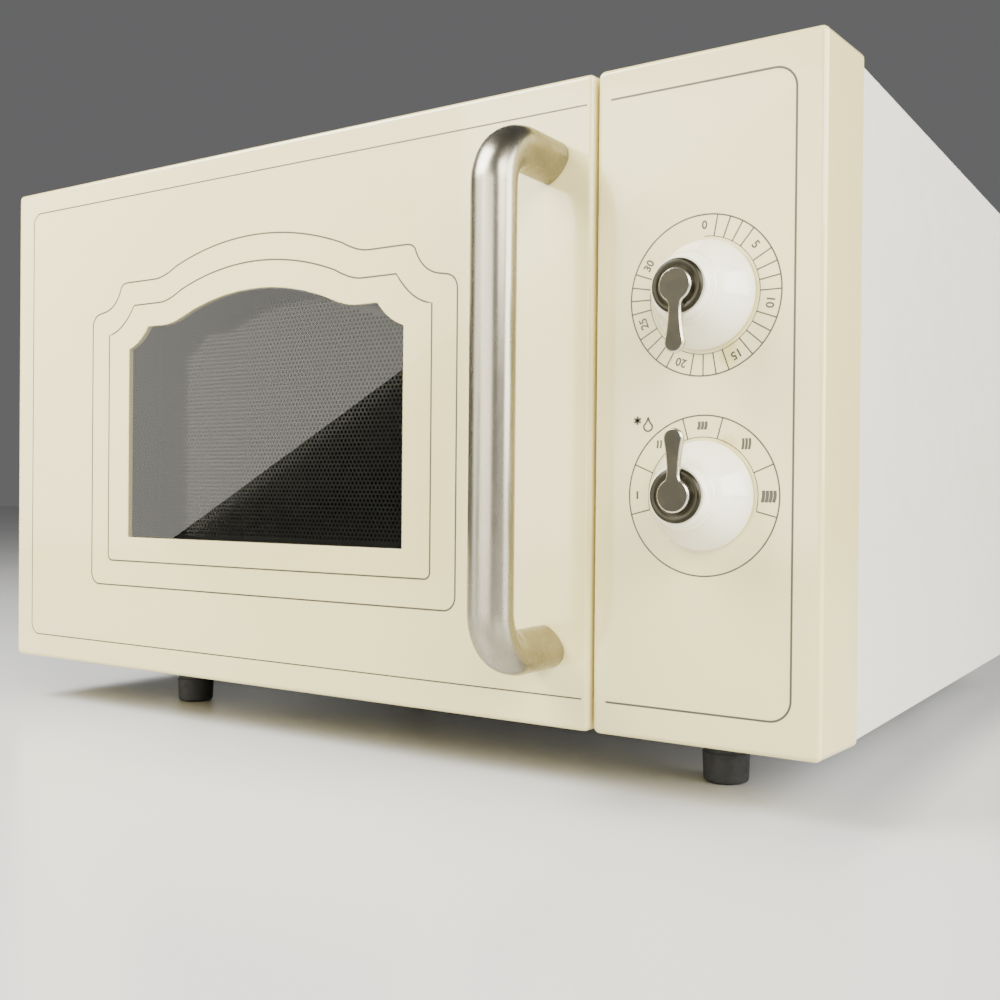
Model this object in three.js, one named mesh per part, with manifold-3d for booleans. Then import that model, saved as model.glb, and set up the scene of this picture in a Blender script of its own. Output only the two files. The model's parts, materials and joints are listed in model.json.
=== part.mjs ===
// A countertop microwave oven with a cream enamel front, an arched window, a bar handle and
// two turning knobs, built as the separate pieces that it comes apart into on a bench.
// Millimetres. X runs to the right, Y into the oven and Z up. While the pieces are made, the
// door's front face lies on y = 0 and the feet stand on z = FLOOR. At the end the whole group is
// moved along Y and Z, so that the origin is on the floor, under the middle of the oven.

import * as THREE from 'three';
import { mergeVertices } from 'three/addons/utils/BufferGeometryUtils.js';
import Module from 'manifold-3d';

const wasm = await Module();
wasm.setup();

// ---- driving dimensions ----

const FLOOR = -4.5;                 // level that the feet stand on
const FRONT_BASE = 19;              // level of the front's bottom edge
const FRONT_W = 454;
const FRONT_H = 254.5;
const FRONT_Z0 = FRONT_BASE;
const FRONT_Z1 = FRONT_BASE + FRONT_H;
const LEFT = -FRONT_W / 2;
const RIGHT = FRONT_W / 2;
const BEZEL_D = 39;                 // depth of the cream mouldings
const FLARE_SIDE = 1;               // how far the mouldings widen towards the back
const FLARE_TOP = 2;
const FLARE_BOTTOM = 1;
const EDGE_R = 2.2;                 // rounding of the mouldings' front edges
const CORNER_R = 2.7;               // rounding of the mouldings' outline
const MOULD_T = 2.6;                // wall of the plastic mouldings
const DOOR_RIGHT = 136;
const DOOR_BACK = 36.6;
const PANEL_LEFT = 137.6;

const SHEET = 0.6;                  // steel sheet
const GAP = 0.3;                    // clearance between neighbours that touch
const PLATE_Y = 40;                 // front face of the steel front plate
const BEHIND_PLATE = PLATE_Y + SHEET + GAP;
const CASE_Y0 = 40.3;
const CASE_Y1 = 346;
const CASE_X = 226.5;
const CASE_Z0 = 20;
const CASE_Z1 = 273.5;
const ON_BASE = CASE_Z0 + SHEET + GAP;
const INNER_X = CASE_X - SHEET - GAP; // half width and top of what fits inside the case
const INNER_Z1 = CASE_Z1 - SHEET - GAP;
const REAR_Y = CASE_Y1 - 1.5;       // outer face of the sunk back panel
const REAR_SCREW = { x: 195, z: 255 };
const GLAND = { x: 205, z: 50, r: 7 };
const FEET = [
  ['foot_front_left', -139, 51],
  ['foot_front_right', 172, 51],
  ['foot_rear_left', -182, 310],
  ['foot_rear_right', 182, 310],
];

const CAVITY = { x0: -205, x1: 105, y0: BEHIND_PLATE, y1: 330, z0: 45, z1: 243 };
const BESIDE_CAVITY = CAVITY.x1 + SHEET + GAP;
const TURN = { x: -50, y: 186 };    // turntable centre
const TRAY_R = 127.5;
const TRAY_Z = 60.4;
const WHEEL_R = 7.3;
const WHEEL_AT = 104;
const WHEEL_W = 6;
const WHEEL_ANGLES = [30, 150, 270];
const COUPLER_Z = CAVITY.z0 + 5;
const RING_Z0 = 50.6;               // under side of the flat roller ring
const RING_Z1 = 54.6;

const WINDOW_X = -45;               // middle of the arched window
const WINDOW_HALF = 89;
const WINDOW_Z0 = FRONT_BASE + 67.75;
const SHOULDER_Z = FRONT_BASE + 163.8;
const FLAT_Z = FRONT_BASE + 174.7;
const PEAK_Z = FRONT_BASE + 187.5;
const ARCH_R = 131;

const PAN = { x0: -209, x1: 108, z0: 28, z1: 264.5, y0: 21.2, y1: 36.2 };

const HINGE = { x: -218, y: 18 };
const PIN_R = 2.7;
const EAR_TOP_Z = 250;
const EAR_BOTTOM_Z = 40.5;
const BRACKET_TOP_Z = 254.5;
const BRACKET_BOTTOM_Z = 36;
const HINGE_T = 2;

const HANDLE = { x: 116, front: 46, top: FRONT_BASE + 231.4, bottom: FRONT_BASE + 23, bend: 26 };
const HANDLE_SECTION = { half: 9.2, crown: 7, side: 0.8, back: 9.6 };
const HANDLE_SCREW_Z = [HANDLE.bottom + 8.5, HANDLE.top - 8.5];

const DIAL_X = 182.25;
const TIMER_Z = FRONT_BASE + 164.9;
const POWER_Z = FRONT_BASE + 92;
const SHAFT_R = 3;

const HOOK_Z = [104, 206];
const FAN = { x: 167, z: 115, r: 44 };
const FILTER_Z = 246;

// ---- shape helpers ----

const AXIS_X = new THREE.Vector3(1, 0, 0);
const AXIS_Y = new THREE.Vector3(0, 1, 0);
const AXIS_Z = new THREE.Vector3(0, 0, 1);
const PLANES = {
  xy: new THREE.Matrix4(),
  yz: new THREE.Matrix4().makeBasis(AXIS_Y, AXIS_Z, AXIS_X),
  xz: new THREE.Matrix4().makeBasis(AXIS_X, AXIS_Z, AXIS_Y.clone().negate()),
};

function signedVolume(points, index) {
  const a = new THREE.Vector3();
  const b = new THREE.Vector3();
  const c = new THREE.Vector3();
  let volume = 0;
  for (let i = 0; i < index.length; i += 3) {
    a.fromArray(points, 3 * index[i]);
    b.fromArray(points, 3 * index[i + 1]);
    c.fromArray(points, 3 * index[i + 2]);
    volume += a.dot(b.cross(c)) / 6;
  }
  return volume;
}

// A closed three.js geometry as a manifold solid, with its faces turned outwards.
function solid(geometry) {
  const bare = geometry.clone();
  bare.deleteAttribute('normal');
  bare.deleteAttribute('uv');
  const welded = mergeVertices(bare, 1e-4);
  const points = Float32Array.from(welded.attributes.position.array);
  const index = [];
  const source = welded.index.array;
  for (let i = 0; i < source.length; i += 3) {
    const [a, b, c] = [source[i], source[i + 1], source[i + 2]];
    if (a !== b && b !== c && c !== a) index.push(a, b, c);
  }
  if (signedVolume(points, index) < 0) index.reverse();
  const mesh = new wasm.Mesh({ numProp: 3, vertProperties: points, triVerts: Uint32Array.from(index) });
  return new wasm.Manifold(mesh);
}

function join(first, ...rest) {
  return rest.reduce((body, piece) => body.add(piece), first);
}

function cut(body, ...tools) {
  return tools.reduce((left, tool) => left.subtract(tool), body);
}

function box(x0, x1, y0, y1, z0, z1) {
  const geometry = new THREE.BoxGeometry(x1 - x0, y1 - y0, z1 - z0);
  geometry.translate((x0 + x1) / 2, (y0 + y1) / 2, (z0 + z1) / 2);
  return solid(geometry);
}

// A shape drawn in one plane and pushed along the third axis, from low to high.
function extrude(shape, plane, low, high, curveSegments = 6) {
  const depth = high - low;
  const geometry = new THREE.ExtrudeGeometry(shape, { depth, bevelEnabled: false, curveSegments });
  geometry.applyMatrix4(PLANES[plane]);
  if (plane === 'xy') geometry.translate(0, 0, low);
  if (plane === 'yz') geometry.translate(low, 0, 0);
  if (plane === 'xz') geometry.translate(0, high, 0);
  return solid(geometry);
}

// A profile of [radius, height] points turned about an axis through the given point.
function turned(profile, axis, x, y, z, segments = 24) {
  const points = profile.map(([radius, height]) => new THREE.Vector2(radius, height));
  const geometry = new THREE.LatheGeometry(points, segments);
  if (axis === 'x') geometry.rotateZ(-Math.PI / 2);
  if (axis === 'z') geometry.rotateX(Math.PI / 2);
  geometry.translate(x, y, z);
  return solid(geometry);
}

function rod(axis, radius, low, high, a, b, segments = 20) {
  const profile = [[0, low], [radius, low], [radius, high], [0, high]];
  if (axis === 'x') return turned(profile, 'x', 0, a, b, segments);
  if (axis === 'y') return turned(profile, 'y', a, 0, b, segments);
  return turned(profile, 'z', a, b, 0, segments);
}

// Rings of points, all with the same count, skinned into one closed body with flat ends.
function loft(rings) {
  const count = rings[0].length;
  const points = rings.flat();
  const index = [];
  for (let ring = 0; ring + 1 < rings.length; ring += 1) {
    for (let i = 0; i < count; i += 1) {
      const j = (i + 1) % count;
      const low = ring * count;
      const high = low + count;
      index.push(low + i, low + j, high + j, low + i, high + j, high + i);
    }
  }
  for (const [start, turn] of [[0, false], [(rings.length - 1) * count, true]]) {
    const middle = new THREE.Vector3();
    for (let i = 0; i < count; i += 1) middle.addScaledVector(points[start + i], 1 / count);
    points.push(middle);
    for (let i = 0; i < count; i += 1) {
      const j = (i + 1) % count;
      const edge = turn ? [start + i, start + j] : [start + j, start + i];
      index.push(points.length - 1, ...edge);
    }
  }
  const geometry = new THREE.BufferGeometry().setFromPoints(points);
  geometry.setIndex(index);
  return solid(geometry);
}

// A rounded rectangle in the XZ plane at depth y, as a ring of points.
function roundedRing(y, x0, x1, z0, z1, radius, steps = 4) {
  const corners = [[x1, z1, 0], [x0, z1, 90], [x0, z0, 180], [x1, z0, 270]];
  const ring = [];
  for (const [x, z, start] of corners) {
    const centreX = x + (x === x1 ? -radius : radius);
    const centreZ = z + (z === z1 ? -radius : radius);
    for (let i = 0; i <= steps; i += 1) {
      const angle = THREE.MathUtils.degToRad(start + (90 * i) / steps);
      const px = centreX + radius * Math.cos(angle);
      const pz = centreZ + radius * Math.sin(angle);
      ring.push(new THREE.Vector3(px, y, pz));
    }
  }
  return ring;
}

function roundedRect(x0, x1, y0, y1, radius) {
  const shape = new THREE.Shape();
  shape.moveTo(x0 + radius, y0);
  shape.lineTo(x1 - radius, y0);
  shape.absarc(x1 - radius, y0 + radius, radius, -Math.PI / 2, 0);
  shape.lineTo(x1, y1 - radius);
  shape.absarc(x1 - radius, y1 - radius, radius, 0, Math.PI / 2);
  shape.lineTo(x0 + radius, y1);
  shape.absarc(x0 + radius, y1 - radius, radius, Math.PI / 2, Math.PI);
  shape.lineTo(x0, y0 + radius);
  shape.absarc(x0 + radius, y0 + radius, radius, Math.PI, 1.5 * Math.PI);
  return shape;
}

// A round-ended slot in the XZ plane, cut through a plate.
function slot(x, z, length, width, y0, y1) {
  const shape = roundedRect(x - width / 2, x + width / 2, z - length / 2, z + length / 2, width / 2.2);
  return extrude(shape, 'xz', y0, y1, 1);
}

const group = new THREE.Group();

// Adds a finished solid to the model as one named piece.
function piece(name, body, color, roughness, metalness) {
  const mesh = body.getMesh();
  const geometry = new THREE.BufferGeometry();
  geometry.setAttribute('position', new THREE.BufferAttribute(Float32Array.from(mesh.vertProperties), 3));
  geometry.setIndex(Array.from(mesh.triVerts));
  geometry.computeVertexNormals();
  const material = new THREE.MeshStandardMaterial({ color, roughness, metalness });
  const part = new THREE.Mesh(geometry, material);
  part.name = name;
  group.add(part);
}

const creamFront = (name, body) => piece(name, body, 0xe6dfca, 0.25, 0);
const creamSteel = (name, body) => piece(name, body, 0xefece0, 0.45, 0.1);
const greySteel = (name, body) => piece(name, body, 0xb4b6b8, 0.4, 0.9);
const blackPlastic = (name, body) => piece(name, body, 0x1c1c1d, 0.5, 0);
const bronzeMetal = (name, body) => piece(name, body, 0x77705c, 0.35, 0.9);
const clearGlass = (name, body) => piece(name, body, 0xcfd6d4, 0.05, 0);

// ---- cream mouldings ----

// The outside of a front moulding, widening a little from front to back.
function mouldingOutside(x0, x1, back, flareLeft, flareRight) {
  const rings = [0, 22.5, 45, 67.5, 90].map((degrees) => {
    const turn = THREE.MathUtils.degToRad(degrees);
    const y = EDGE_R * (1 - Math.cos(turn));
    const inset = EDGE_R * (1 - Math.sin(turn));
    const radius = CORNER_R - inset;
    return roundedRing(y, x0 + inset, x1 - inset, FRONT_Z0 + inset, FRONT_Z1 - inset, radius);
  });
  const bottom = FRONT_Z0 - FLARE_BOTTOM;
  const top = FRONT_Z1 + FLARE_TOP;
  rings.push(roundedRing(back, x0 - flareLeft, x1 + flareRight, bottom, top, CORNER_R));
  return loft(rings);
}

function mouldingInside(x0, x1, back) {
  const walls = [x0 + MOULD_T, x1 - MOULD_T, FRONT_Z0 + MOULD_T, FRONT_Z1 - MOULD_T];
  const rings = [MOULD_T + 0.4, back + 1].map((y) => roundedRing(y, ...walls, 1));
  return loft(rings);
}

// The window's outline: straight sides, a scooped corner, a flat shoulder and a shallow arch.
function archShape(grow = 0) {
  const half = WINDOW_HALF + grow;
  const shoulder = SHOULDER_Z + grow * 0.6;
  const flat = FLAT_Z + grow;
  const peak = PEAK_Z + grow;
  const radius = ARCH_R + grow;
  const archEnd = 50;
  const arch = Math.asin(archEnd / radius);
  const archEndZ = peak - radius + radius * Math.cos(arch);
  const shape = new THREE.Shape();
  shape.moveTo(WINDOW_X - half, WINDOW_Z0 - grow);
  shape.lineTo(WINDOW_X + half, WINDOW_Z0 - grow);
  shape.lineTo(WINDOW_X + half, shoulder);
  shape.quadraticCurveTo(WINDOW_X + half - 9, shoulder + 3, WINDOW_X + half - 14.5, flat);
  shape.lineTo(WINDOW_X + 63, flat);
  shape.quadraticCurveTo(WINDOW_X + 57, flat, WINDOW_X + archEnd, archEndZ);
  shape.absarc(WINDOW_X, peak - radius, radius, Math.PI / 2 - arch, Math.PI / 2 + arch);
  shape.quadraticCurveTo(WINDOW_X - 57, flat, WINDOW_X - 63, flat);
  shape.lineTo(WINDOW_X - half + 14.5, flat);
  shape.quadraticCurveTo(WINDOW_X - half + 9, shoulder + 3, WINDOW_X - half, shoulder);
  return shape;
}

function makeDoorFront() {
  const outside = mouldingOutside(LEFT, DOOR_RIGHT, DOOR_BACK, FLARE_SIDE, 0);
  const inside = mouldingInside(LEFT, DOOR_RIGHT, DOOR_BACK);
  const opening = extrude(archShape(), 'xz', -1, 6, 5);
  const notches = [BRACKET_TOP_Z, BRACKET_BOTTOM_Z].map((z) =>
    box(LEFT - 4, LEFT + MOULD_T + 0.5, 9, DOOR_BACK + 1, z - 1.5, z + HINGE_T + 1.5));
  const screwHoles = HANDLE_SCREW_Z.map((z) => rod('y', 2.6, -1, 5, HANDLE.x, z, 12));
  creamFront('door_front', cut(outside, inside, opening, ...notches, ...screwHoles));
}

function makeControlPanel() {
  const outside = mouldingOutside(PANEL_LEFT, RIGHT, BEZEL_D, 0, FLARE_SIDE);
  const inside = mouldingInside(PANEL_LEFT, RIGHT, BEZEL_D);
  const holes = [TIMER_Z, POWER_Z].map((z) => rod('y', SHAFT_R + 1, -1, 5, DIAL_X, z, 16));
  creamFront('control_panel', cut(outside, inside, ...holes));
}

// ---- steel case ----

function makeWrapper() {
  const below = CASE_Z0 - 12;
  const outer = roundedRect(-CASE_X, CASE_X, below, CASE_Z1, 3);
  const inner = roundedRect(-CASE_X + SHEET, CASE_X - SHEET, below - 4, CASE_Z1 - SHEET, 2);
  const shell = extrude(outer, 'xz', CASE_Y0, CASE_Y1, 3);
  const hollow = extrude(inner, 'xz', CASE_Y0 - 1, CASE_Y1 + 1, 3);
  const openSide = box(-CASE_X - 1, CASE_X + 1, CASE_Y0 - 1, CASE_Y1 + 1, below - 1, CASE_Z0);
  creamSteel('cabinet_wrapper', cut(shell, hollow, openSide));
}

function makeBackPanel() {
  const outline = roundedRect(-INNER_X, INNER_X, CASE_Z0 + 2, INNER_Z1, 2.5);
  const plate = extrude(outline, 'xz', REAR_Y - 11, REAR_Y, 2);
  const lips = box(-INNER_X + SHEET, INNER_X - SHEET, REAR_Y - 12, REAR_Y - SHEET,
    CASE_Z0, INNER_Z1 - SHEET);
  const vents = [];
  for (let row = 0; row < 2; row += 1) {
    for (let i = 0; i < 9; i += 1) {
      vents.push(slot(FAN.x - 40 + 10 * i, 92 + 46 * row, 38, 4.5, REAR_Y - 3, REAR_Y + 1));
    }
  }
  for (let i = 0; i < 8; i += 1) {
    vents.push(slot(-190 + 10 * i, 215, 38, 4.5, REAR_Y - 3, REAR_Y + 1));
  }
  const gland = rod('y', GLAND.r + GAP, REAR_Y - 3, REAR_Y + 1, GLAND.x, GLAND.z, 16);
  const screws = [-REAR_SCREW.x, REAR_SCREW.x].map((x) =>
    rod('y', 2.3, REAR_Y - 3, REAR_Y + 1, x, REAR_SCREW.z, 12));
  creamSteel('back_panel', cut(plate, lips, gland, ...vents, ...screws));
}

function makeBasePan() {
  const plate = box(-INNER_X, INNER_X, PLATE_Y + 2, CASE_Y1 - GAP, CASE_Z0, CASE_Z0 + SHEET);
  const vents = [];
  for (let i = 0; i < 8; i += 1) {
    const shape = roundedRect(125 + 10 * i, 129 + 10 * i, 160, 205, 1.8);
    vents.push(extrude(shape, 'xy', CASE_Z0 - 1, CASE_Z0 + 3, 1));
  }
  const holes = FEET.map(([, x, y]) => rod('z', 3.3, CASE_Z0 - 1, CASE_Z0 + 3, x, y, 12));
  greySteel('base_pan', cut(plate, ...vents, ...holes));
}

function makeFeet() {
  const profile = [
    [0, FLOOR], [8, FLOOR], [9.2, FLOOR + 1.4], [10, CASE_Z0 - GAP], [3, CASE_Z0 - GAP],
    [3, ON_BASE], [4.2, ON_BASE], [2, CASE_Z0 + 5], [0, CASE_Z0 + 5],
  ];
  for (const [name, x, y] of FEET) blackPlastic(name, turned(profile, 'z', x, y, 0, 20));
}

function makeFrontPlate() {
  const outline = roundedRect(-INNER_X, INNER_X, CASE_Z0 + 1.5, INNER_Z1, 2.5);
  const plate = extrude(outline, 'xz', PLATE_Y, PLATE_Y + SHEET, 2);
  const { x0, x1, z0, z1 } = CAVITY;
  const mouth = extrude(roundedRect(x0, x1, z0, z1, 6), 'xz', PLATE_Y - 1, PLATE_Y + 3, 4);
  const controls = extrude(roundedRect(150, 214, 78, 216, 6), 'xz', PLATE_Y - 1, PLATE_Y + 3, 3);
  const hookSlots = HOOK_Z.map((z) => box(114, 127, PLATE_Y - 1, PLATE_Y + 3, z - 9, z + 10));
  const hingeSlots = [BRACKET_TOP_Z, BRACKET_BOTTOM_Z].map((z) =>
    box(HINGE.x - 5.3, HINGE.x + 5.3, PLATE_Y - 1, PLATE_Y + 3, z - GAP, z + HINGE_T + GAP));
  greySteel('front_plate', cut(plate, mouth, controls, ...hookSlots, ...hingeSlots));
}

function makeScrews() {
  const profile = [[0, -9], [1.9, -9], [1.9, GAP], [4, GAP], [3.4, 2.4], [0, 2.8]];
  for (const [name, x] of [['back_screw_left', -REAR_SCREW.x], ['back_screw_right', REAR_SCREW.x]]) {
    greySteel(name, turned(profile, 'y', x, REAR_Y, REAR_SCREW.z, 16));
  }
}

function makeCordGland() {
  const bore = 3.6;
  const flange = GLAND.r + 2.5;
  const profile = [
    [bore, -6], [GLAND.r, -6], [GLAND.r, GAP], [flange, GAP],
    [flange, 3], [6.5, 7.5], [bore, 7.5], [bore, -6],
  ];
  blackPlastic('cord_gland', turned(profile, 'y', GLAND.x, REAR_Y, GLAND.z, 20));
}

// ---- cooking cavity and turntable ----

function makeCavity() {
  const { x0, x1, y0, y1, z0, z1 } = CAVITY;
  const outline = roundedRect(x0 - SHEET, x1 + SHEET, z0 - SHEET, z1 + SHEET, 7);
  const outer = extrude(outline, 'xz', y0, y1 + SHEET, 4);
  const inner = extrude(roundedRect(x0, x1, z0, z1, 6), 'xz', y0 - 1, y1, 4);
  const shaftHole = rod('z', 8, z0 - 3, z0 + 3, TURN.x, TURN.y, 16);
  const port = box(x1 - 2, x1 + 3, 205, 275, 150, 190);
  const lampHoles = [];
  const airHoles = [];
  for (let row = 0; row < 3; row += 1) {
    for (let i = 0; i < 4; i += 1) {
      lampHoles.push(rod('x', 1.6, x1 - 2, x1 + 3, 95 + 6 * i, 208 + 6 * row, 6));
      airHoles.push(rod('x', 1.6, x0 - 3, x0 + 2, 282 + 6 * i, 208 + 6 * row, 6));
    }
  }
  creamSteel('cavity', cut(outer, inner, shaftHole, port, ...lampHoles, ...airHoles));
}

// Turns a body made about the origin by an angle, and moves it onto the turntable's axis.
function placed(body, angle) {
  return body.rotate([0, 0, angle]).translate([TURN.x, TURN.y, 0]);
}

function makeTurntableDrive() {
  const top = CAVITY.z0 - SHEET - GAP;
  const motorCan = rod('z', 24.5, top - 16, top, TURN.x, TURN.y, 28);
  const motorEars = box(TURN.x - 34, TURN.x + 34, TURN.y - 6, TURN.y + 6, top - 1.5, top);
  const bore = rod('z', 4.4, 36, top + 1, TURN.x, TURN.y, 16);
  greySteel('turntable_motor', cut(join(motorCan, motorEars), bore));

  const profile = [[0, 37], [4, 37], [4, 48], [9, 50], [9, 57], [7.5, 58], [0, 58]];
  const stem = turned(profile, 'z', TURN.x, TURN.y, 0, 18);
  const arms = [0, 120, 240].map((angle) => placed(box(0, 24, -4, 4, COUPLER_Z, COUPLER_Z + 6.5), angle));
  piece('turntable_coupler', join(stem, ...arms), 0xe8e6de, 0.5, 0);
}

function makeRollerRing() {
  const wheelZ = CAVITY.z0 + GAP + WHEEL_R;
  const rings = [[86, 94], [33, 39]].map(([inner, outer]) => {
    const [low, high] = [RING_Z0, RING_Z1];
    const profile = [[inner, low], [outer, low], [outer, high], [inner, high], [inner, low]];
    return turned(profile, 'z', TURN.x, TURN.y, 0, 36);
  });
  const spokes = WHEEL_ANGLES.map((angle) => {
    const arm = box(38, 87, -3.5, 3.5, RING_Z0, RING_Z1);
    const axle = rod('x', 2, 92, 108.5, 0, wheelZ, 12);
    const cap = rod('x', 3.4, 108, 109.5, 0, wheelZ, 12);
    return placed(join(arm, axle, cap), angle);
  });
  piece('roller_ring', join(...rings, ...spokes), 0xdcdad2, 0.5, 0);

  const x0 = WHEEL_AT - WHEEL_W / 2;
  const x1 = WHEEL_AT + WHEEL_W / 2;
  const bore = 2.3;
  const profile = [
    [bore, x0], [WHEEL_R - 1, x0], [WHEEL_R, x0 + 1], [WHEEL_R, x1 - 1],
    [WHEEL_R - 1, x1], [bore, x1], [bore, x0],
  ];
  WHEEL_ANGLES.forEach((angle, number) => {
    const wheel = placed(turned(profile, 'x', 0, 0, wheelZ, 24), angle);
    piece(`roller_wheel_${number + 1}`, wheel, 0xe8e6de, 0.5, 0);
  });
}

function makeTray() {
  const profile = [
    [0, TRAY_Z], [112, TRAY_Z], [121, TRAY_Z + 1.5], [TRAY_R, TRAY_Z + 9.5], [TRAY_R, TRAY_Z + 11.5],
    [TRAY_R - 1.8, TRAY_Z + 11.5], [119.5, TRAY_Z + 6], [111, TRAY_Z + 4.6], [0, TRAY_Z + 4.6],
  ];
  const tray = turned(profile, 'z', TURN.x, TURN.y, 0, 48);
  const lugs = [60, 180, 300].map((angle) => placed(box(13, 26, -5, 5, TRAY_Z - 5, TRAY_Z + 1), angle));
  clearGlass('glass_turntable', join(tray, ...lugs));
}

// ---- door ----

// The outer pane is stepped: a plate behind the moulding, and a land that fills the arched opening.
function makeDoorGlazing() {
  const plate = extrude(roundedRect(-150, 60, 74, 222, 4), 'xz', 3.4, 6.4, 3);
  const land = extrude(archShape(-0.2), 'xz', 0.3, 3.5, 5);
  clearGlass('door_window', join(plate, land));
  blackPlastic('door_screen', extrude(roundedRect(-158, 68, 66, 230, 3), 'xz', 20, 20.8, 3));
  clearGlass('door_inner_film', extrude(roundedRect(-150, 60, 72, 224, 3), 'xz', 22.1, 23.1, 3));
}

function makeDoorFrame() {
  const { x0, x1, z0, z1, y0, y1 } = PAN;
  const pan = box(x0, x1, y0, y1, z0, z1);
  const hollow = box(x0 + SHEET, x1 - SHEET, y0 + SHEET, y1 + 1, z0 + SHEET, z1 - SHEET);
  const window = extrude(roundedRect(-142, 52, 80, 216, 3), 'xz', y0 - 1, y1, 3);
  const ears = [EAR_TOP_Z, EAR_BOTTOM_Z].map((z) => {
    const ear = box(HINGE.x - 5.5, x0 + 4, HINGE.y - 6, y0 + SHEET, z, z + HINGE_T);
    const bore = rod('z', PIN_R + GAP, z - 1, z + HINGE_T + 1, HINGE.x, HINGE.y, 20);
    return cut(ear, bore);
  });
  const frame = cut(pan, hollow, window);
  greySteel('door_frame', join(frame, ...ears));
}

function makeDoorBackCover() {
  const { x0, z0, z1 } = PAN;
  const ring = extrude(roundedRect(x0 - 1, 131, z0 - 4, z1 + 3, 5), 'xz', 36.6, 38.2, 3);
  const window = extrude(roundedRect(-152, 62, 70, 226, 6), 'xz', 36, 39, 3);
  const hookSlots = HOOK_Z.map((z) => box(114.5, 126.5, 36, 39, z - 8, z + 9));
  blackPlastic('door_back_cover', cut(ring, window, ...hookSlots));
}

function makeLatch() {
  const bar = box(116, 124, 26, 31, 92, 218);
  const hooks = HOOK_Z.map((z) => {
    const arm = box(117.5, 123, 30, 56, z - 2, z + 4);
    const nose = extrude(triangle([46, z - 1.5], [56, z - 1.5], [47.5, z - 6]), 'yz', 117.5, 123);
    return join(arm, nose);
  });
  blackPlastic('latch_lever', join(bar, ...hooks));

  const coil = [];
  const turns = 6;
  const steps = 9;
  for (let i = 0; i <= turns * steps; i += 1) {
    const angle = (2 * Math.PI * i) / steps;
    const radius = 2.6;
    const centre = new THREE.Vector3(Math.cos(angle), Math.sin(angle), 0).multiplyScalar(radius);
    const outward = centre.clone().normalize();
    centre.add(new THREE.Vector3(120, 28.5, 218.6 + (21 * i) / (turns * steps)));
    coil.push(wireRing(centre, outward, 0.45));
  }
  greySteel('latch_spring', loft(coil));
}

// One five-sided section of spring wire that runs round a vertical axis.
function wireRing(centre, outward, radius) {
  const ring = [];
  for (let k = 0; k < 5; k += 1) {
    const angle = (2 * Math.PI * k) / 5;
    const point = centre.clone().addScaledVector(outward, radius * Math.cos(angle));
    ring.push(point.addScaledVector(AXIS_Z, radius * Math.sin(angle)));
  }
  return ring;
}

function triangle(a, b, c) {
  const shape = new THREE.Shape();
  shape.moveTo(...a);
  shape.lineTo(...b);
  shape.lineTo(...c);
  return shape;
}

// The handle's section as [across, depth behind the crest]: a strongly crowned front, short
// flat sides and a tapering back.
function handleSection() {
  const { half, crown, side, back } = HANDLE_SECTION;
  const steps = 8;
  const front = [];
  const rear = [];
  for (let i = 0; i <= steps; i += 1) {
    const turn = (Math.PI * i) / steps;
    const across = Math.cos(turn);
    const height = Math.sin(turn);
    front.unshift([half * across, crown * (1 - height)]);
    const taper = Math.sign(across) * Math.abs(across) ** (4 / 3);
    rear.push([half * taper, crown + side + back * height ** (4 / 3)]);
  }
  return [...front, ...rear];
}

function makeHandle() {
  const { x, front, top, bottom, bend } = HANDLE;
  const stations = [{ y: -GAP, z: bottom, angle: 90 }];
  const bendSteps = 8;
  for (const [corner, start] of [[bottom + bend, 90], [top - bend, 0]]) {
    for (let i = 0; i <= bendSteps; i += 1) stations.push({ corner, angle: start - (90 * i) / bendSteps });
  }
  stations.push({ y: -GAP, z: top, angle: -90 });
  const section = handleSection();
  const rings = stations.map(({ y, z, corner, angle }) => {
    const turn = THREE.MathUtils.degToRad(angle);
    const outY = -Math.cos(turn);
    const outZ = -Math.sin(turn);
    const atY = corner === undefined ? y : bend - front + bend * outY;
    const atZ = corner === undefined ? z : corner + bend * outZ;
    return section.map(([across, depth]) =>
      new THREE.Vector3(x + across, atY - depth * outY, atZ - depth * outZ));
  });
  const screwHoles = HANDLE_SCREW_Z.map((z) => rod('y', 2.4, -15, 1, x, z, 12));
  piece('handle', cut(loft(rings), ...screwHoles), 0xb9b09a, 0.3, 0.95);
  const profile = [[0, -14], [2.1, -14], [2.1, 3.3], [4.4, 3.3], [3.6, 5.6], [0, 6]];
  HANDLE_SCREW_Z.forEach((z, number) => {
    const name = number === 0 ? 'handle_screw_bottom' : 'handle_screw_top';
    greySteel(name, turned(profile, 'y', x, 0, z, 14));
  });
}

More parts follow.
